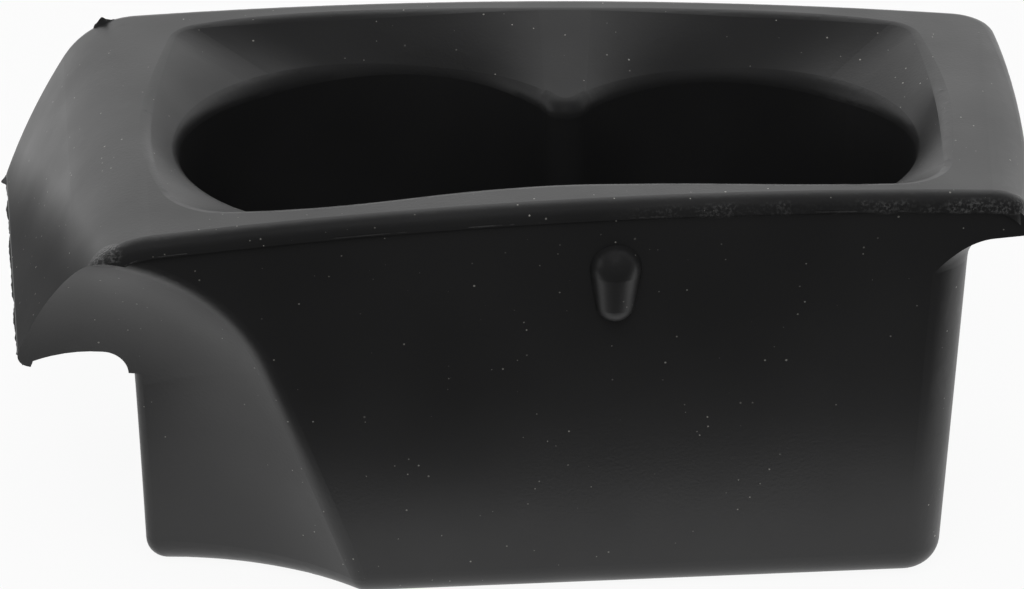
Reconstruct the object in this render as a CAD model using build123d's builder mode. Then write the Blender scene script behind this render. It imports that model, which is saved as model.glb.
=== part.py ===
from build123d import *
from math import asin, atan, atan2, cos, degrees, radians, sin, sqrt, tan
import os

# A twin cup holder for a car console, blown in one piece from black polyethylene.
# X runs along the console, Y points to the back edge, Z is up, and the base stands on Z = 0.

# Heights
rim_height = 88.0         # crown of the flange above the base
basin_depth = 9.8         # lips of the wells below the rim, at Y = 0
lip_tilt = 0.8            # degrees that the lips rise towards the front
well_floor_height = 7.0   # inside floor of both wells
curl_depth = 37.9         # underside of the curled left end below the rim, beside the body

# Flange in plan
back_edge = 55.7          # straight back edge
front_edge = -49.0        # front edge at X = 0
front_skew = 4.8          # degrees that the front edge turns from the back edge
left_edge = -102.1        # tip of the curl at Y = 0
left_skew = 6.6           # degrees that the left end turns from the Y axis
right_edge = 102.4        # furthest point of the bowed right edge
right_middle = 10.0       # Y of that point
right_bow = 400.0         # plan radius of the right edge
back_corner = 9.0         # plan radii at the right end
front_corner = 4.0

# Flange in section
skin_thickness = 3.6      # upper half of the flange, down to the parting line
flange_thickness = 13.5   # both halves
crown_radius = 1200.0
back_crown = 8.0          # X of the highest point along the back edge
front_crown = 42.0        # X of the highest point along the front edge
bend_radius = 19.5        # left end: a short bend, then a long curl
bend_slope = 58.0         # slope in degrees where the bend ends
curl_radius = 145.0
back_tip_slope = 71.0     # slope at the tip, behind and in front
front_tip_slope = 69.0
roll_radius = 10.9        # small roll of the right end, then straight to the bowed edge
roll_slope = 50.0
roll_edge = 102.3         # end of the roll at Y = 0
roll_skew = 2.7           # degrees that the roll turns from the Y axis
roll_run = 5.0            # straight run, cut off by the bowed edge
edge_round = 2.9          # roll of the upper half into its parting line
parting_step = 0.2        # the lower half stands this far inside the upper one
under_reach = 15.0        # crowned underside, beyond the front crown, then straight to the right edge

# Hanging body
body_left_top = -75.5
body_left_base = -73.4
body_right_top = 89.6
body_right_base = 85.7
body_back_top = 45.0
body_back_base = 42.5
front_base = -43.3        # front face at the base, at X = 0
body_corner = 8.0
base_round = 6.5
under_cove = 7.0          # hollow corner under the overhangs
left_cove = 5.0           # hollow corner under the curl
curl_arch = 45.0          # radius of the arched underside of the curl
curl_root = 2.0           # the curl runs this far into the body

# Hollow at the front left corner
hollow_radius = 52.0
hollow_depth = 22.5
hollow_x = -85.0          # centre of its round upper end
hollow_drop = 51.5        # the same centre below the rim
hollow_lean = 22.5        # degrees from upright
hollow_edge = 4.5         # rounding towards the front face
hollow_corner = 2.0       # rounding towards the left wall

# Wells
left_well_x = -26.6
left_well_y = 1.2
left_well_radius = 40.2
right_well_x = 44.5
right_well_y = 1.7
right_well_radius = 36.6
well_draft = 2.0
neck_round = 5.0          # radius of the two noses between the wells
lip_round = 4.0
well_floor_round = 4.0

# Basin round both wells
basin_back = 49.5
basin_front_left = -50.8  # bowed front edge, at its left corner, at the land and at its right corner
basin_front_land = -39.3
basin_front_right = -36.4
basin_left = -77.5
basin_right = 87.3
basin_front_corner = 13.0
basin_back_corner = 5.0
land_width = 11.0         # ends of the two lands between the wells
rim_round = 3.0

# Catch on the front face
catch_x = 20.0
catch_drop = 14.5         # centre of its big end below the rim
catch_radius = 5.2
catch_tip_radius = 4.0
catch_length = 7.6
catch_lean = 3.0
catch_sunk = 1.0

lip_height = rim_height - basin_depth
curl_height = rim_height - curl_depth
hollow_z = rim_height - hollow_drop
catch_z = rim_height - catch_drop
skew = tan(radians(front_skew))
across = Vector(1, skew, 0).normalized()
outward = Vector(skew, -1, 0).normalized()


def front_line(x, y=front_edge):
    """Y at X of a line along the front that passes X = 0 at y."""
    return y + skew * x


def left_line(y):
    """X at Y of the tip of the curl."""
    return left_edge - tan(radians(left_skew)) * y


# Sections stand behind the back edge and before the front edge, and are ruled between
stations = (back_edge + 6, front_line(left_edge) - 6)
crown_middle = dict(zip(stations, (back_crown, front_crown)))
tip_slope = dict(zip(stations, (back_tip_slope, front_tip_slope)))


def crown(y, x, drop=0.0):
    """Height at X of the crowned section that stands at Y, lowered by drop."""
    return rim_height - crown_radius + sqrt((crown_radius - drop) ** 2 - (x - crown_middle[y]) ** 2)


def flange_curve(y, drop):
    """Section that stands at Y, lowered by drop: roll, crown, bend and curl, from right to left."""
    top = crown_middle[y]
    bend_sine = sin(radians(bend_slope))
    reach = (bend_radius * bend_sine) + curl_radius * (sin(radians(tip_slope[y])) - bend_sine)
    left = (left_line(y) + reach - bend_radius * top / crown_radius) / (1 - bend_radius / crown_radius)
    reach = roll_radius * sin(radians(roll_slope))
    right = roll_edge + tan(radians(roll_skew)) * y
    right = (right - reach - roll_radius * top / crown_radius) / (1 - roll_radius / crown_radius)
    left_start = degrees(asin((top - left) / crown_radius))
    right_start = degrees(asin((right - top) / crown_radius))
    shrink = 1 - drop / crown_radius
    left = top + (left - top) * shrink
    right = top + (right - top) * shrink
    arch = ThreePointArc(
        (right, crown(y, right, drop)),
        (top, rim_height - drop),
        (left, crown(y, left, drop)),
    )
    roll = JernArc(arch @ 0, (arch % 0) * -1, roll_radius - drop, right_start - roll_slope)
    bend = JernArc(arch @ 1, arch % 1, bend_radius - drop, bend_slope - left_start)
    curl = JernArc(bend @ 1, bend % 1, curl_radius - drop, tip_slope[y] - bend_slope)
    run = Line(roll @ 1, roll @ 1 + (roll % 1) * roll_run)
    return run @ 1, curl @ 1


def right_bowed(inset):
    """Points of the bowed right edge, moved inwards by inset: behind, middle, before."""
    radius = right_bow - inset
    points = []
    for y in (back_edge - inset, right_middle, 2 * front_edge):
        points.append((right_edge - right_bow + sqrt(radius**2 - (y - right_middle) ** 2), y))
    return points


# Upper half of the flange, trimmed to its plan and rolled into the parting line
with BuildPart() as skin:
    for y in stations:
        with BuildSketch(Plane.XZ.offset(-y)):
            with BuildLine():
                right_end, left_end = flange_curve(y, 0.0)
                right_inner, left_inner = flange_curve(y, skin_thickness)
                Line(right_end, right_inner)
                Line(left_end, left_inner)
            make_face()
    loft(ruled=True)
    with BuildSketch() as plan:
        with BuildLine():
            behind, bulge, before = right_bowed(0.0)
            ThreePointArc(behind, bulge, before)
            Polyline(before, (2 * left_edge, before[1]), (2 * left_edge, back_edge), behind)
        make_face()
        with BuildLine():
            Polyline(
                (2 * left_edge, back_edge),
                (2 * right_edge, back_edge),
                (2 * right_edge, front_line(2 * right_edge)),
                (2 * left_edge, front_line(2 * left_edge)),
                close=True,
            )
        make_face(mode=Mode.INTERSECT)
        right_corners = plan.vertices().sort_by(Axis.X)[-2:].sort_by(Axis.Y)
        fillet(right_corners[-1], back_corner)
        fillet(plan.vertices().filter_by_position(Axis.X, 0, right_edge).sort_by(Axis.Y)[0], front_corner)
    extrude(amount=2 * rim_height, mode=Mode.INTERSECT)
    upper = skin.faces().filter_by(lambda f: f.normal_at().Z > 0.1)
    fillet(
        [e for e in skin.edges() if sum(any(e.is_same(s) for s in f.edges()) for f in upper) == 1],
        edge_round,
    )


def body_plan(front_y, left_x, right_x, back_y):
    """Corners of the hanging body at one height."""
    return (
        (left_x, back_y),
        (right_x, back_y),
        (right_x, front_line(right_x, front_y)),
        (left_x, front_line(left_x, front_y)),
    )


front_top = front_edge + parting_step
low_end = front_crown + under_reach
middle = skin_thickness / 2

# Everything below the middle of the upper half
with BuildPart() as below:
    for y in stations:
        with BuildSketch(Plane.XZ.offset(-y)):
            with BuildLine():
                right_end, left_end = flange_curve(y, middle + parting_step)
                Polyline(right_end, (right_end.X, -rim_height), (left_end.X, -rim_height), left_end)
            make_face()
    loft(ruled=True)

# Hanging body, drafted, run up into the flange
with BuildPart() as body:
    for z, corners in (
        (0.0, body_plan(front_base, body_left_base, body_right_base, body_back_base)),
        (rim_height, body_plan(front_top, body_left_top, body_right_top, body_back_top)),
    ):
        with BuildSketch(Plane.XY.offset(z)) as level:
            with BuildLine():
                Polyline(*corners, close=True)
            make_face()
            fillet(level.vertices().sort_by(Axis.Y)[1:], body_corner)
    loft(ruled=True)
    add(below.part, mode=Mode.INTERSECT)

# Lower half of the flange with its curl, joined to the body and trimmed inside the parting line
with BuildPart() as holder:
    for y, inner_x in zip(stations, (body_left_top + body_corner + curl_root, body_left_top + curl_root)):
        with BuildSketch(Plane.XZ.offset(-y)):
            with BuildLine():
                right_end, left_end = flange_curve(y, middle)
                low = ThreePointArc(
                    (low_end, crown(y, low_end, flange_thickness)),
                    (crown_middle[y], rim_height - flange_thickness),
                    (inner_x, crown(y, inner_x, flange_thickness)),
                )
                Line(right_end, low @ 0)
                foot = RadiusArc(
                    (body_left_top - left_cove, curl_height), (body_left_top, curl_height - left_cove), left_cove
                )
                RadiusArc(left_end, foot @ 0, curl_arch)
                Polyline(foot @ 1, (inner_x, curl_height - left_cove), low @ 1)
            make_face()
    loft(ruled=True)
    with BuildSketch(Plane.XY.offset(-rim_height)) as plan:
        with BuildLine():
            behind, bulge, before = right_bowed(parting_step)
            ThreePointArc(behind, bulge, before)
            Polyline(before, (2 * left_edge, before[1]), (2 * left_edge, back_edge - parting_step), behind)
        make_face()
        fillet(plan.vertices().sort_by(Axis.X)[-2:].sort_by(Axis.Y)[-1], back_corner - parting_step)
    extrude(amount=3 * rim_height, mode=Mode.INTERSECT)
    add(body)
    junction = (
        holder.edges()
        .filter_by_position(Axis.Z, curl_height + left_cove, rim_height - flange_thickness / 2)
        .filter_by(lambda e: body_left_top + body_corner + curl_root < e.center().X < body_right_top)
        .filter_by(lambda e: front_line(left_edge) < e.center().Y < body_back_top)
    )
    fillet(junction, under_cove)
    front_lean = atan((front_base - front_top) * cos(radians(front_skew)) / rim_height)
    front_normal = outward * cos(front_lean) - Vector(0, 0, sin(front_lean))
    with BuildSketch(Plane((0, front_top, rim_height), x_dir=across, z_dir=front_normal)):
        Rectangle(6 * right_edge, 6 * rim_height)
    extrude(amount=-6 * back_edge, mode=Mode.INTERSECT)
    add(skin)

    # Hollow: a ball-ended cylinder standing before the front face
    hollow_axis = across * sin(radians(hollow_lean)) - Vector(0, 0, cos(radians(hollow_lean)))
    hollow_end = Vector(hollow_x, front_line(hollow_x, front_top), hollow_z) + outward * (hollow_radius - hollow_depth)
    with BuildSketch(Plane(hollow_end, x_dir=outward, z_dir=outward.cross(hollow_axis))):
        with BuildLine():
            ball = CenterArc((0, 0), hollow_radius, -90, 90)
            Polyline(ball @ 1, (hollow_radius, 2 * rim_height), (0, 2 * rim_height), ball @ 0)
        make_face()
    revolve(axis=Axis(hollow_end, hollow_axis), mode=Mode.SUBTRACT)
    fillet(holder.edges().filter_by_position(Axis.Z, -0.1, 0.1), base_round)
    for outside, radius in ((outward, hollow_edge), (Vector(-1, 0, 0), hollow_corner)):
        wall = holder.faces().filter_by(lambda f: f.normal_at().dot(outside) > 0.98).sort_by(SortBy.AREA)[-1]
        bowl = holder.faces().filter_by(GeomType.SPHERE) + holder.faces().filter_by(
            lambda f: f.geom_type == GeomType.CYLINDER and f.radius == hollow_radius
        )
        fillet([e for e in wall.edges() if any(e.is_same(b) for b in bowl.edges())], radius)


def turn_corner(before, corner, after, radius):
    """Ends and middle of a round corner of the basin."""
    towards_before = (before - corner).normalized()
    towards_after = (after - corner).normalized()
    half = radians(towards_before.get_angle(towards_after)) / 2
    reach = radius / tan(half)
    bulge = radius / sin(half) - radius
    return (
        corner + towards_before * reach,
        corner + (towards_before + towards_after).normalized() * bulge,
        corner + towards_after * reach,
    )


def nose_centre(shrink, side):
    """Centre of the nose that touches both wells, behind them (side 1) or before them (side -1)."""
    reach_left = left_well_radius - shrink + neck_round
    reach_right = right_well_radius - shrink + neck_round
    line = right_well - left_well
    along = (reach_left**2 - reach_right**2 + line.length**2) / (2 * line.length)
    aside = side * sqrt(reach_left**2 - along**2)
    line = line.normalized()
    return left_well + line * along + Vector(-line.Y, line.X) * aside


def bearing(start, end):
    return degrees(atan2(end.Y - start.Y, end.X - start.X))


def well_outline(shrink, halves):
    """Both wells at one level, each big arc cut in the same shares as the half rim above it."""
    back = nose_centre(shrink, 1)
    front = nose_centre(shrink, -1)
    edges = []
    for centre, radius, first, last, half in (
        (left_well, left_well_radius - shrink, back, front, halves[0]),
        (right_well, right_well_radius - shrink, front, back, halves[1]),
    ):
        angle = bearing(centre, first)
        sweep_angle = (bearing(centre, last) - angle) % 360
        length = sum(edge.length for edge in half)
        for edge in half:
            step = sweep_angle * edge.length / length
            edges.append(CenterArc(centre, radius, angle, step))
            angle += step
    for centre, first, last in ((front, left_well, right_well), (back, right_well, left_well)):
        angle = bearing(centre, first)
        edges.append(CenterArc(centre, neck_round, angle, (bearing(centre, last) - angle) % 360 - 360))
    return edges


left_well = Vector(left_well_x, left_well_y)
right_well = Vector(right_well_x, right_well_y)

# Rim of the basin: two halves of five edges, joined by the ends of the two lands
front_bow = ThreePointArc(
    (basin_left, basin_front_left), (nose_centre(0.0, -1).X, basin_front_land), (basin_right, basin_front_right)
)


def bow_at(x):
    """Point at X of the bowed front edge of the basin."""
    centre = front_bow.arc_center
    return Vector(x, centre.Y + sqrt(front_bow.radius**2 - (x - centre.X) ** 2))


def bow_arc(start, end):
    return ThreePointArc(start, bow_at((start.X + end.X) / 2), end)


rim_corners = (
    Vector(basin_left, basin_back),
    bow_at(basin_left),
    bow_at(basin_right),
    Vector(basin_right, basin_back),
)
corner_radii = (basin_back_corner, basin_front_corner, basin_front_corner, basin_back_corner)
turns = [
    turn_corner(rim_corners[i - 1], rim_corners[i], rim_corners[(i + 1) % 4], corner_radii[i]) for i in range(4)
]
bow_left = bow_at(turns[1][2].X)
bow_right = bow_at(turns[2][0].X)
land_back = [Vector(nose_centre(0.0, 1).X + k * land_width / 2, basin_back) for k in (-1, 1)]
land_front = [bow_at(nose_centre(0.0, -1).X + k * land_width / 2) for k in (-1, 1)]
rim_halves = [
    [
        Line(land_back[0], turns[0][0]),
        ThreePointArc(*turns[0]),
        Line(turns[0][2], turns[1][0]),
        ThreePointArc(*turns[1][:2], bow_left),
        bow_arc(bow_left, land_front[0]),
    ],
    [
        bow_arc(land_front[1], bow_right),
        ThreePointArc(bow_right, *turns[2][1:]),
        Line(turns[2][2], turns[3][0]),
        ThreePointArc(*turns[3]),
        Line(turns[3][2], land_back[1]),
    ],
]
rim_ends = [bow_arc(*land_front), Line(land_back[1], land_back[0])]
rim_face = Face(Wire(rim_halves[0] + rim_halves[1] + rim_ends))
lip_face = Face(Wire(well_outline(0.0, rim_halves)))
floor_face = Face(Wire(well_outline((lip_height - well_floor_height) * tan(radians(well_draft)), rim_halves)))
lip_plane = Plane((0, 0, lip_height), x_dir=(1, 0, 0), z_dir=Vector(0, 0, 1).rotate(Axis.X, -lip_tilt))

# Basin and wells in one cutter: straight above the rim, then down to the lips, then down to the floors
with BuildPart() as wells:
    loft(
        [
            Pos(0, 0, rim_height + rim_round) * rim_face,
            Pos(0, 0, rim_height) * rim_face,
            lip_plane * lip_face,
            Pos(0, 0, well_floor_height) * floor_face,
        ],
        ruled=True,
    )

with BuildPart() as cup_holder:
    add(holder)
    add(wells, mode=Mode.SUBTRACT)
    rim = cup_holder.edges(Select.LAST).filter_by(
        lambda e: min(v.Z for v in e.vertices()) > lip_height + 1.5 * lip_round
    )
    fillet(rim, rim_round)
    lip = cup_holder.edges().filter_by(
        lambda e: all(abs(lip_plane.to_local_coords(e @ k).Z) < 0.01 for k in (0, 0.5, 1))
    )
    fillet(lip, lip_round)
    floor = cup_holder.edges().filter_by_position(Axis.Z, well_floor_height - 0.01, well_floor_height + 0.01)
    fillet(floor, well_floor_round)

    # Catch: an egg, big end up, sunk into the front face
    catch_y = front_line(catch_x, front_base + (front_top - front_base) * catch_z / rim_height)
    catch_top = Vector(catch_x, catch_y, catch_z) - outward * catch_sunk
    catch_axis = Vector(0, 0, -cos(radians(catch_lean))) - outward * sin(radians(catch_lean))
    flare = degrees(asin((catch_radius - catch_tip_radius) / catch_length))
    with BuildSketch(Plane(catch_top, x_dir=across, z_dir=across.cross(catch_axis))):
        with BuildLine():
            big = CenterArc((0, 0), catch_radius, -90, 90 + flare)
            small = CenterArc((0, catch_length), catch_tip_radius, flare, 90 - flare)
            Line(big @ 1, small @ 0)
            Line(small @ 1, big @ 0)
        make_face()
    revolve(axis=Axis(catch_top, catch_axis))

cup_holder.part.label = "cup_holder"
os.makedirs("parts", exist_ok=True)
export_step(cup_holder.part, "parts/cup_holder.step")
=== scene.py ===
import bpy
import numpy as np
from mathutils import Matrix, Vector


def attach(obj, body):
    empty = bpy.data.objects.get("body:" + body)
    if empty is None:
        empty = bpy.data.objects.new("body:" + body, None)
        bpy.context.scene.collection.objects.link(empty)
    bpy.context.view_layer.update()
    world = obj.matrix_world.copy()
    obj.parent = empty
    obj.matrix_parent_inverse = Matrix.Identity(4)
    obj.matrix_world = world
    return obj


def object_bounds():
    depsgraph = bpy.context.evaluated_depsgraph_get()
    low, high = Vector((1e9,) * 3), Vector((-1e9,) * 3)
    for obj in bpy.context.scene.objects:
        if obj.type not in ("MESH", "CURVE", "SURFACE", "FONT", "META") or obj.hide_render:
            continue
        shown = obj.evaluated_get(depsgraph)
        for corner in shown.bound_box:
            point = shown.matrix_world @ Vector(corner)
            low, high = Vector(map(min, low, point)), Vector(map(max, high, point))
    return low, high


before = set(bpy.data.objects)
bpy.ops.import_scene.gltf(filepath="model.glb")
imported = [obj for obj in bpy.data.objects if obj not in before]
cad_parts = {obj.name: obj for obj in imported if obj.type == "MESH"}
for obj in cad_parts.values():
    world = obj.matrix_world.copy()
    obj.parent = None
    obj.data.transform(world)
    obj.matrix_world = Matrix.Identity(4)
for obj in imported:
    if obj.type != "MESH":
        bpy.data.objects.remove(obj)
cad_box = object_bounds()

# The moulding
# The whole cup holder is one piece of black polyethylene, blown as a double wall in a two-part mould.
# Its skin is satin, with a fine blasted grain from the mould, and it has picked up some dust.


def socket_of(node, name, kind="outputs"):
    """The enabled socket of that name, where a node has several for its data types."""
    return next(s for s in getattr(node, kind) if s.name == name and s.enabled)


def new_group(name, inputs, outputs):
    """An empty shader node group with float inputs and outputs, and its two end nodes."""
    group = bpy.data.node_groups.new(name, "ShaderNodeTree")
    for label, value in inputs.items():
        made = group.interface.new_socket(label, in_out="INPUT", socket_type="NodeSocketFloat")
        made.default_value = value
    for label in outputs:
        group.interface.new_socket(label, in_out="OUTPUT", socket_type="NodeSocketFloat")
    return group, group.nodes.new("NodeGroupInput"), group.nodes.new("NodeGroupOutput")


def noise_of(tree, scale, detail, roughness=0.5):
    """Noise over the piece's own coordinates, in features per metre."""
    place = tree.nodes.new("ShaderNodeTexCoord")
    noise = tree.nodes.new("ShaderNodeTexNoise")
    noise.inputs["Scale"].default_value = scale
    noise.inputs["Detail"].default_value = detail
    noise.inputs["Roughness"].default_value = roughness
    tree.links.new(place.outputs["Object"], noise.inputs["Vector"])
    return noise


def ramp_of(tree, value, low, high, to_low=0.0, to_high=1.0, kind="LINEAR"):
    """Map Range that takes low to to_low and high to to_high, held at its ends."""
    ramp = tree.nodes.new("ShaderNodeMapRange")
    ramp.interpolation_type = kind
    for label, number in (("From Min", low), ("From Max", high), ("To Min", to_low), ("To Max", to_high)):
        ramp.inputs[label].default_value = number
    tree.links.new(value, ramp.inputs["Value"])
    return ramp.outputs["Result"]


def maths(tree, operation, first, second):
    """Math node on two sockets, or on a socket and a number."""
    node = tree.nodes.new("ShaderNodeMath")
    node.operation = operation
    for k, value in enumerate((first, second)):
        if isinstance(value, (int, float)):
            node.inputs[k].default_value = value
        else:
            tree.links.new(value, node.inputs[k])
    return node.outputs["Value"]


def axes_of(tree, vector):
    """The X, Y and Z outputs of a node that splits a vector."""
    split = tree.nodes.new("ShaderNodeSeparateXYZ")
    tree.links.new(vector, split.inputs["Vector"])
    return split.outputs


# Grain: a fine pebble that fades in and out over patches, on slow waves of the blown wall
grain, grain_in, grain_out = new_group(
    "mould_grain", {"Pebble": 0.5, "Waves": 0.5}, ("Height", "Patches")
)
patches = ramp_of(grain, noise_of(grain, 26.0, 2.0).outputs["Fac"], 0.42, 0.66, 0.25, 1.0)
pebble = noise_of(grain, 1500.0, 1.5).outputs["Fac"]
waves = noise_of(grain, 16.0, 1.0).outputs["Fac"]
pebble = maths(grain, "MULTIPLY", maths(grain, "MULTIPLY", pebble, patches), grain_in.outputs["Pebble"])
waves = maths(grain, "MULTIPLY", waves, grain_in.outputs["Waves"])
grain.links.new(maths(grain, "ADD", pebble, waves), grain_out.inputs["Height"])
grain.links.new(patches, grain_out.inputs["Patches"])

# Dust: small pale specks of many sizes, in a share of the cells of a fine cell pattern
dust, dust_in, dust_out = new_group("settled_dust", {"Spacing": 0.0021, "Share": 0.2}, ("Specks",))
dust_place = dust.nodes.new("ShaderNodeTexCoord")
cells = dust.nodes.new("ShaderNodeTexVoronoi")
dust.links.new(dust_place.outputs["Object"], cells.inputs["Vector"])
dust.links.new(maths(dust, "DIVIDE", 1.0, dust_in.outputs["Spacing"]), cells.inputs["Scale"])
lottery = dust.nodes.new("ShaderNodeSeparateColor")
dust.links.new(cells.outputs["Color"], lottery.inputs["Color"])
chosen = maths(dust, "LESS_THAN", lottery.outputs["Red"], dust_in.outputs["Share"])
speck_size = ramp_of(dust, lottery.outputs["Green"], 0.0, 1.0, 0.025, 0.105)
inside = maths(dust, "LESS_THAN", cells.outputs["Distance"], speck_size)
brightness = ramp_of(dust, lottery.outputs["Blue"], 0.0, 1.0, 0.25, 1.0)
specks = maths(dust, "MULTIPLY", maths(dust, "MULTIPLY", chosen, inside), brightness)
dust.links.new(specks, dust_out.inputs["Specks"])

# Open sides: 0 inside the box that holds both wells, 1 outside it, where the dust has settled
wells_middle = (0.007, 0.001)
wells_half = (0.0755, 0.0415)
lip_height = 0.079
wiped, _, wiped_out = new_group("outside_wells", {}, ("Outside",))
wiped_place = wiped.nodes.new("ShaderNodeTexCoord")
wiped_axes = axes_of(wiped, wiped_place.outputs["Object"])
outside = maths(wiped, "GREATER_THAN", wiped_axes["Z"], lip_height)
for axis, middle, half in zip("XY", wells_middle, wells_half):
    away = maths(wiped, "ABSOLUTE", maths(wiped, "SUBTRACT", wiped_axes[axis], middle), 0.0)
    outside = maths(wiped, "MAXIMUM", outside, maths(wiped, "GREATER_THAN", away, half))
wiped.links.new(outside, wiped_out.inputs["Outside"])

# Matt: past a line across it, the lower front of the curl is more and more matt. The line is where
# Y plus Skew times X equals Start, and the finish is fully matt at Run past it.
matt, matt_in, matt_out = new_group("matt_curl", {"Start": -0.354, "Skew": 3.9, "Run": 0.031}, ("Share",))
matt_place = matt.nodes.new("ShaderNodeTexCoord")
matt_axes = axes_of(matt, matt_place.outputs["Object"])
matt_faces = axes_of(matt, matt_place.outputs["Normal"])
past = maths(matt, "SUBTRACT", matt_in.outputs["Start"], matt_axes["Y"])
past = maths(matt, "SUBTRACT", past, maths(matt, "MULTIPLY", matt_axes["X"], matt_in.outputs["Skew"]))
past = maths(matt, "DIVIDE", past, matt_in.outputs["Run"])
on_curl = ramp_of(matt, matt_faces["Z"], 0.12, 0.33)
on_curl = maths(matt, "MULTIPLY", on_curl, ramp_of(matt, past, 0.0, 1.0, kind="SMOOTHSTEP"))
matt.links.new(on_curl, matt_out.inputs["Share"])

# Crumbs: the knife tore the front edge rather than cut it, mostly to the right and at the left corner.
# The torn band follows the straight front edge and lies a little under the crown's top.
rim_height = 0.088
crown_radius = 1.2
crown_at_front = 0.040
front_at_middle = -0.049
front_skew = np.tan(np.radians(4.8))
torn_corner = (-0.0792, -0.0556, 0.0813)
torn, torn_in, torn_out = new_group("torn_edge", {"Depth": 0.3}, ("Crumbs", "Height"))
torn_place = torn.nodes.new("ShaderNodeTexCoord")
torn_axes = axes_of(torn, torn_place.outputs["Object"])
edge_line = maths(torn, "ADD", maths(torn, "MULTIPLY", torn_axes["X"], front_skew), front_at_middle)
behind_edge = maths(torn, "SUBTRACT", torn_axes["Y"], edge_line)
off_crown = maths(torn, "SUBTRACT", torn_axes["X"], crown_at_front)
fallen = maths(torn, "DIVIDE", maths(torn, "MULTIPLY", off_crown, off_crown), 2 * crown_radius)
under_top = maths(torn, "SUBTRACT", maths(torn, "SUBTRACT", rim_height, fallen), torn_axes["Z"])
band = ramp_of(torn, under_top, 0.0010, 0.0020)
band = maths(torn, "MULTIPLY", band, ramp_of(torn, under_top, 0.0036, 0.0044, 1.0, 0.0))
band = maths(torn, "MULTIPLY", band, ramp_of(torn, behind_edge, 0.0026, 0.0034, 1.0, 0.0))
band = maths(torn, "MULTIPLY", band, ramp_of(torn, torn_axes["X"], 0.015, 0.055))
clumps = noise_of(torn, 110.0, 2.0).outputs["Fac"]
band = maths(torn, "MULTIPLY", band, ramp_of(torn, clumps, 0.42, 0.56, 0.1, 1.0))
from_corner = torn.nodes.new("ShaderNodeVectorMath")
from_corner.operation = "DISTANCE"
from_corner.inputs[1].default_value = torn_corner
torn.links.new(torn_place.outputs["Object"], from_corner.inputs[0])
band = maths(torn, "MAXIMUM", band, ramp_of(torn, from_corner.outputs["Value"], 0.0042, 0.0054, 1.0, 0.0))
grit = noise_of(torn, 1700.0, 2.0, 0.6).outputs["Fac"]
torn.links.new(maths(torn, "MULTIPLY", band, ramp_of(torn, grit, 0.48, 0.62)), torn_out.inputs["Crumbs"])
rough = maths(torn, "MULTIPLY", maths(torn, "MULTIPLY", band, grit), torn_in.outputs["Depth"])
torn.links.new(rough, torn_out.inputs["Height"])


def placed(tree, group, **values):
    """The outputs of a node that uses a group, with some of its inputs set."""
    node = tree.nodes.new("ShaderNodeGroup")
    node.node_tree = group
    for label, value in values.items():
        node.inputs[label].default_value = value
    return node.outputs


def mixed(tree, share, under, over):
    """Colour that goes from under to over by share. Under is a socket or a colour, over a colour."""
    mix = tree.nodes.new("ShaderNodeMix")
    mix.data_type = "RGBA"
    tree.links.new(share, socket_of(mix, "Factor", "inputs"))
    if isinstance(under, tuple):
        socket_of(mix, "A", "inputs").default_value = (*under, 1.0)
    else:
        tree.links.new(under, socket_of(mix, "A", "inputs"))
    socket_of(mix, "B", "inputs").default_value = (*over, 1.0)
    return socket_of(mix, "Result")


plastic_ior = 1.51
dust_grey = (0.42, 0.41, 0.38)
crumb_grey = (0.09, 0.09, 0.09)
matt_rise = 0.55
millimetre = 0.001


def black_polyethylene(name, colour, cloud, gloss, pebble_height, wave_height, dust_share):
    """Satin black plastic: cloudy black under dust, uneven gloss, and the mould's grain as a bump.

    Roughness is gloss, a little more or less over rubbed patches, plus matt_rise times the matt share.
    The heights are in millimetres."""
    material = bpy.data.materials.new(name)
    material.use_nodes = True
    tree = material.node_tree
    shader = tree.nodes["Principled BSDF"]
    shader.inputs["IOR"].default_value = plastic_ior
    surface = placed(tree, grain, Pebble=pebble_height, Waves=wave_height)
    settled = placed(tree, dust, Share=dust_share)
    outer = placed(tree, wiped)
    edge = placed(tree, torn)
    dulled = placed(tree, matt)
    specks_outside = maths(tree, "MULTIPLY", settled["Specks"], outer["Outside"])
    shade = mixed(tree, surface["Patches"], colour, cloud)
    shade = mixed(tree, specks_outside, shade, dust_grey)
    shade = mixed(tree, edge["Crumbs"], shade, crumb_grey)
    tree.links.new(shade, shader.inputs["Base Color"])
    rubbed = noise_of(tree, 45.0, 4.0).outputs["Fac"]
    roughness = ramp_of(tree, rubbed, 0.3, 0.7, gloss - 0.04, gloss + 0.05)
    roughness = maths(tree, "ADD", roughness, maths(tree, "MULTIPLY", dulled["Share"], matt_rise))
    tree.links.new(roughness, shader.inputs["Roughness"])
    bump = tree.nodes.new("ShaderNodeBump")
    bump.inputs["Distance"].default_value = millimetre
    tree.links.new(maths(tree, "ADD", surface["Height"], edge["Height"]), bump.inputs["Height"])
    tree.links.new(bump.outputs["Normal"], shader.inputs["Normal"])
    return material


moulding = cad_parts["cup_holder"]
skin_plastic = black_polyethylene(
    "black_plastic_skin",
    colour=(0.016, 0.016, 0.0165),
    cloud=(0.021, 0.021, 0.0215),
    gloss=0.38,
    pebble_height=0.035,
    wave_height=0.35,
    dust_share=0.6,
)
for k in range(len(moulding.data.materials)):
    moulding.data.materials[k] = skin_plastic

# Flash on the parting line
# Where the two halves of the mould met, a thin web of plastic was squeezed out all round the flange.
# A knife trimmed it off by hand, so a ragged thin edge is left, with a few longer bits round the curl.
bend_radius = 0.0195
bend_slope = np.radians(58.0)
curl_radius = 0.145
roll_radius = 0.0109
roll_slope = np.radians(50.0)
station_y = (0.0617, -0.06357)
crown_middle = (0.008, 0.042)
tip_slope = np.radians((71.0, 69.0))
tip_at_middle = -0.1021
tip_skew = np.tan(np.radians(6.6))
roll_at_middle = 0.1023
roll_skew = np.tan(np.radians(2.7))
back_edge = 0.0557
parting_drop = 0.0033


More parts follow.
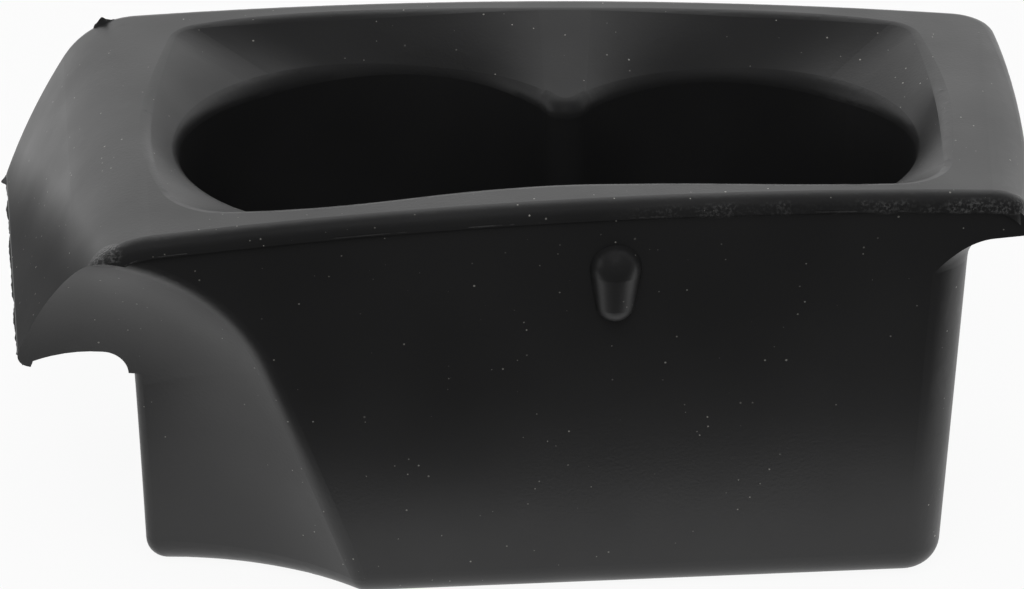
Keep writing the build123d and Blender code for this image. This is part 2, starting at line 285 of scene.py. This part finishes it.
def flange_section(p, k, drop):
    """Points of end section k of the flange, lowered by drop.

    p runs from -1 to 0 over the roll at the right, to 1 over the crown, to 2 over the bend and to 3 over
    the curl. Each stretch is an arc whose centre lies on the normal where the one before it ends, and a
    point is its centre plus its radius times the normal at that slope."""
    top = crown_middle[k]
    reach = bend_radius * np.sin(bend_slope) + curl_radius * (np.sin(tip_slope[k]) - np.sin(bend_slope))
    left = tip_at_middle - tip_skew * station_y[k] + reach
    left = (left - bend_radius * top / crown_radius) / (1 - bend_radius / crown_radius)
    right = roll_at_middle + roll_skew * station_y[k] - roll_radius * np.sin(roll_slope)
    right = (right - roll_radius * top / crown_radius) / (1 - roll_radius / crown_radius)
    left_slope = np.arcsin((top - left) / crown_radius)
    right_slope = np.arcsin((top - right) / crown_radius)

    def normal(slope):
        return np.stack([-np.sin(slope), np.cos(slope)], axis=-1)

    crown_centre = np.array([top, rim_height - crown_radius])
    bend_centre = crown_centre + (crown_radius - bend_radius) * normal(left_slope)
    curl_centre = bend_centre + (bend_radius - curl_radius) * normal(bend_slope)
    roll_centre = crown_centre + (crown_radius - roll_radius) * normal(right_slope)
    slopes = (-roll_slope, right_slope, left_slope, bend_slope, tip_slope[k])
    slope = np.interp(p, (-1, 0, 1, 2, 3), slopes)
    stretch = np.clip(np.floor(p), -1, 2).astype(int) + 1
    centre = np.stack([roll_centre, crown_centre, bend_centre, curl_centre])[stretch]
    radius = np.array([roll_radius, crown_radius, bend_radius, curl_radius])[stretch]
    return centre + (radius - drop)[:, None] * normal(slope)


def on_flange(p, share, drop):
    """Points between the two end sections: straight lines join equal p, share 0 behind to 1 before."""
    behind = flange_section(p, 0, drop)
    before = flange_section(p, 1, drop)
    flat = behind + np.reshape(share, (-1, 1)) * (before - behind)
    y = station_y[0] + share * (station_y[1] - station_y[0])
    return np.stack([flat[:, 0], np.broadcast_to(y, len(flat)), flat[:, 1]], axis=1)


def ragged(distance, seed, grit):
    """A torn outline from 0 to 1 along a path: random heights joined by straight lines, at three spacings
    from six times grit down to grit, the finer ones weaker."""
    rng = np.random.default_rng(seed)
    total = np.zeros_like(distance)
    for spacing, weight in ((6 * grit, 0.5), (2.2 * grit, 0.3), (grit, 0.2)):
        knots = np.arange(distance[0] - spacing, distance[-1] + 2 * spacing, spacing)
        knots = knots + rng.uniform(-0.35, 0.35, len(knots)) * spacing
        total += weight * np.interp(distance, knots, rng.uniform(0, 1, len(knots)))
    return total


def resample(path, spacing):
    """Points at equal distances along a path, and their distances from its start."""
    steps = np.linalg.norm(np.diff(path, axis=0), axis=1)
    along = np.concatenate([[0.0], np.cumsum(steps)])
    distance = np.linspace(0.0, along[-1], int(along[-1] / spacing) + 2)
    return np.stack([np.interp(distance, along, path[:, k]) for k in range(3)], axis=1), distance


def tube_mesh(name, rings, material):
    """Closed skin over rings of points, an array of rings by points by 3, with both ends filled."""
    count, around = rings.shape[:2]
    ring = np.arange(count - 1)[:, None] * around
    first = np.arange(around)[None, :]
    second = (first + 1) % around
    quads = np.stack([ring + first, ring + second, ring + around + second, ring + around + first], axis=-1)
    faces = quads.reshape(-1, 4).tolist()
    faces.append(list(range(around))[::-1])
    faces.append(list(range((count - 1) * around, count * around)))
    mesh = bpy.data.meshes.new(name)
    mesh.from_pydata(rings.reshape(-1, 3), [], faces)
    mesh.materials.append(material)
    piece = bpy.data.objects.new(name, mesh)
    bpy.context.scene.collection.objects.link(piece)
    return piece


flash_step = 0.00022
root_inset = 0.00012
end_taper = 0.004


def trimmed_flash(name, path, outward, length, thickness, seed, grit, gap=0.0):
    """A knife-cut web: a wedge section carried along the path, thick at its sunk root and thin at its edge.

    At each point the section lies across the path, its long side along outward. Its reach is length times
    the part of a torn outline above gap, and its edge wanders up and down by part of its reach."""
    line, distance = resample(path, flash_step)
    tangent = np.gradient(line, axis=0)
    tangent /= np.linalg.norm(tangent, axis=1)[:, None]
    out = np.tile(outward, (len(line), 1))
    out -= (out * tangent).sum(1)[:, None] * tangent
    out /= np.linalg.norm(out, axis=1)[:, None]
    up = np.cross(out, tangent)
    line = line - root_inset * out
    share = distance / distance[-1]
    reach = length(share) * np.clip((ragged(distance, seed, grit) - gap) / (1 - gap), 0.0, 1.0)
    reach *= np.clip(np.minimum(share, 1 - share) / end_taper, 0.0, 1.0)
    lean = (ragged(distance, seed + 1, 2.5 * grit) - 0.5) * 1.1 * reach
    half = 0.5 * thickness * (0.7 + 0.6 * ragged(distance, seed + 2, grit))
    sunk = -0.9 * thickness
    upper = ((sunk, 0, 1), (0, 0, 1), (0.6, 0.5, 0.55), (1, 1, 0.2))
    lower = ((1, 1, -0.2), (0.6, 0.5, -0.55), (0, 0, -1), (sunk, 0, -1))
    rings = [
        line
        + (np.where(along < 0, along, along * reach))[:, None] * out
        + (bend * lean + side * half)[:, None] * up
        for along, bend, side in upper + lower
    ]
    piece = tube_mesh(name, np.stack(rings, axis=1), cut_plastic)
    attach(piece, "root")


def tuft(share, middle, width):
    """A longer bit of web: e to the power of minus the square of the distance from middle over width."""
    return np.exp(-(((share - middle) / width) ** 2))


cut_plastic = black_polyethylene(
    "black_plastic_cut",
    colour=(0.014, 0.014, 0.0145),
    cloud=(0.05, 0.05, 0.05),
    gloss=0.46,
    pebble_height=0.25,
    wave_height=0.0,
    dust_share=0.0,
)

# Tip of the curl, from the back corner to the hollow, on the round of its edge
edge_round = 0.0029
up_the_curl = np.array([0.342, 0.0, 0.940])
out_of_tip = np.array([-0.98, 0.0, -0.20])
tip_share = np.linspace(0.055, 0.775, 60)
tip_centre = on_flange(np.full(60, 3.0), tip_share, edge_round) + edge_round * up_the_curl
trimmed_flash(
    "flash_tip",
    path=tip_centre + edge_round * out_of_tip,
    outward=(-0.95, 0.0, -0.30),
    length=lambda share: 0.0008 + 0.0022 * tuft(share, 0.035, 0.016),
    thickness=0.0006,
    seed=3,
    grit=0.0011,
)

# Front edge, along the straight stretch and round the bend at the left
front_p = (np.linspace(-0.45, 0.0, 12), np.linspace(0.02, 1.0, 40), np.linspace(1.03, 1.42, 14))
front_p = np.concatenate(front_p)
behind = flange_section(front_p, 0, parting_drop)[:, 0]
before = flange_section(front_p, 1, parting_drop)[:, 0]
front_share = (front_at_middle + front_skew * behind - station_y[0]) / (
    station_y[1] - station_y[0] - front_skew * (before - behind)
)
trimmed_flash(
    "flash_front",
    path=on_flange(front_p, front_share, parting_drop)[::-1],
    outward=(front_skew, -1.0, 0.0),
    length=lambda share: 0.0003 + 0.0004 * np.clip((share - 0.55) / 0.2, 0, 1) + 0.0002 * (share < 0.35),
    thickness=0.0004,
    seed=11,
    grit=0.0009,
    gap=0.35,
)

# Back edge, from the right corner to the tip of the curl
back_p = (np.linspace(0.01, 1.0, 40), np.linspace(1.03, 2.0, 24), np.linspace(2.05, 2.97, 20))
back_p = np.concatenate(back_p)
back_share = np.full(len(back_p), (back_edge - station_y[0]) / (station_y[1] - station_y[0]))
trimmed_flash(
    "flash_back",
    path=on_flange(back_p, back_share, parting_drop),
    outward=(0.0, 1.0, 0.0),
    length=lambda share: 0.0005 + 0.0030 * tuft(share, 0.80, 0.010),
    thickness=0.0006,
    seed=23,
    grit=0.0011,
)

# A torn bit that stands up behind the bend
burr_inset = 0.0024
burr_drop = 0.0003
burr_p = np.linspace(1.20, 1.52, 12)
burr_share = (back_edge - burr_inset - station_y[0]) / (station_y[1] - station_y[0])
trimmed_flash(
    "flash_burr",
    path=on_flange(burr_p, np.full(12, burr_share), burr_drop),
    outward=(-0.15, 0.35, 0.92),
    length=lambda share: 0.0040 * np.sin(np.pi * share),
    thickness=0.0011,
    seed=52,
    grit=0.0007,
)

# Right edge, along its bow in plan, and a little higher at its ends
bow_radius = 0.400
bow_middle = 0.010
bow_height = 0.0768
rise_middle = 0.001
rise_radius = 0.450
bow_y = np.linspace(-0.0374, 0.0472, 60)
bow_x = cad_box[1].x - bow_radius + np.sqrt(bow_radius**2 - (bow_y - bow_middle) ** 2)
bow_z = bow_height + (bow_y - rise_middle) ** 2 / (2 * rise_radius)
trimmed_flash(
    "flash_right",
    path=np.stack([bow_x, bow_y, bow_z], axis=1),
    outward=(1.0, 0.0, -0.1),
    length=lambda share: 0.0011 + 0.0004 * np.cos(7 * share),
    thickness=0.0006,
    seed=37,
    grit=0.0012,
    gap=0.1,
)

# Floor
# A white sheet that carries the object and ends a little before it.
# It shows white to the camera and in the gloss, and a little darker where the object shades it.
sheet_front = -0.080
sheet_back = 3.0
sheet_half = 3.0
sheet_glow = 0.93
sheet_mesh = bpy.data.meshes.new("white_sheet")
sheet_mesh.from_pydata(
    [
        (-sheet_half, sheet_front, 0.0),
        (sheet_half, sheet_front, 0.0),
        (sheet_half, sheet_back, 0.0),
        (-sheet_half, sheet_back, 0.0),
    ],
    [],
    [(0, 1, 2, 3)],
)
white_sheet = bpy.data.objects.new("white_sheet", sheet_mesh)
bpy.context.scene.collection.objects.link(white_sheet)
sheet_paper = bpy.data.materials.new("white_paper")
sheet_paper.use_nodes = True
tree = sheet_paper.node_tree
paper = tree.nodes["Principled BSDF"]
paper.inputs["Base Color"].default_value = (0.86, 0.86, 0.86, 1.0)
paper.inputs["Roughness"].default_value = 0.9
paper.inputs["Specular IOR Level"].default_value = 0.0
white = tree.nodes.new("ShaderNodeEmission")
rays = tree.nodes.new("ShaderNodeLightPath")
seen = tree.nodes.new("ShaderNodeMixShader")
shown = maths(tree, "MAXIMUM", rays.outputs["Is Camera Ray"], rays.outputs["Is Glossy Ray"])
shown = maths(tree, "MAXIMUM", shown, rays.outputs["Is Transmission Ray"])
tree.links.new(maths(tree, "MULTIPLY", shown, sheet_glow), seen.inputs["Fac"])
tree.links.new(paper.outputs["BSDF"], seen.inputs[1])
tree.links.new(white.outputs["Emission"], seen.inputs[2])
tree.links.new(seen.outputs["Shader"], tree.nodes["Material Output"].inputs["Surface"])
sheet_mesh.materials.append(sheet_paper)

# Studio
# A white room behind the object that grows dim towards the camera's side, though it shows white to the
# camera all round. A soft lamp before and above the object fills the front without showing in its gloss,
# and a weak one stands to the left.
room_dim = 0.10
room_bright = 1.15
world = bpy.data.worlds.new("white_room")
bpy.context.scene.world = world
world.use_nodes = True
tree = world.node_tree
room = tree.nodes["Background"]
direction = tree.nodes.new("ShaderNodeTexCoord")
towards = axes_of(tree, direction.outputs["Generated"])
rays = tree.nodes.new("ShaderNodeLightPath")
level = ramp_of(tree, towards["Y"], -0.25, 0.95, room_dim, room_bright)
mirrored = maths(tree, "MAXIMUM", rays.outputs["Is Glossy Ray"], rays.outputs["Is Transmission Ray"])
backdrop = maths(tree, "MULTIPLY", mirrored, ramp_of(tree, towards["Y"], 0.15, 0.45))
backdrop = maths(tree, "MAXIMUM", backdrop, rays.outputs["Is Camera Ray"])
tree.links.new(maths(tree, "MAXIMUM", level, backdrop), room.inputs["Strength"])
room.inputs["Color"].default_value = (1.0, 1.0, 1.0, 1.0)


def soft_lamp(name, place, aim, size, power):
    """A square lamp at place that faces aim."""
    light = bpy.data.lights.new(name, "AREA")
    light.size = size
    light.energy = power
    lamp = bpy.data.objects.new(name, light)
    lamp.location = place
    way = Vector(aim) - Vector(place)
    lamp.rotation_euler = way.to_track_quat("-Z", "Y").to_euler()
    bpy.context.scene.collection.objects.link(lamp)
    return lamp


lamp_front = soft_lamp("lamp_front", place=(0.0, -0.75, 1.15), aim=(0.0, 0.0, 0.05), size=0.9, power=8.0)
lamp_front.visible_glossy = False
soft_lamp("lamp_left", place=(-0.95, -0.15, 0.35), aim=(-0.05, -0.02, 0.04), size=0.5, power=0.4)

# Camera
# Before the front edge and above it, as in the photograph, with a long lens.
image_width = 1024
focal_pixels = 5000
viewer_place = (0.0, -0.91456, 0.48675)
viewer_dip = np.radians(25.75)
camera = bpy.data.cameras.new("camera")
camera.sensor_width = 36.0
camera.lens = camera.sensor_width * focal_pixels / image_width
camera.clip_end = 100.0
viewer = bpy.data.objects.new("camera", camera)
viewer.location = viewer_place
viewer.rotation_euler = (np.pi / 2 - viewer_dip, 0.0, 0.0)
bpy.context.scene.collection.objects.link(viewer)
bpy.context.scene.camera = viewer

bpy.context.scene.view_settings.view_transform = "Standard"
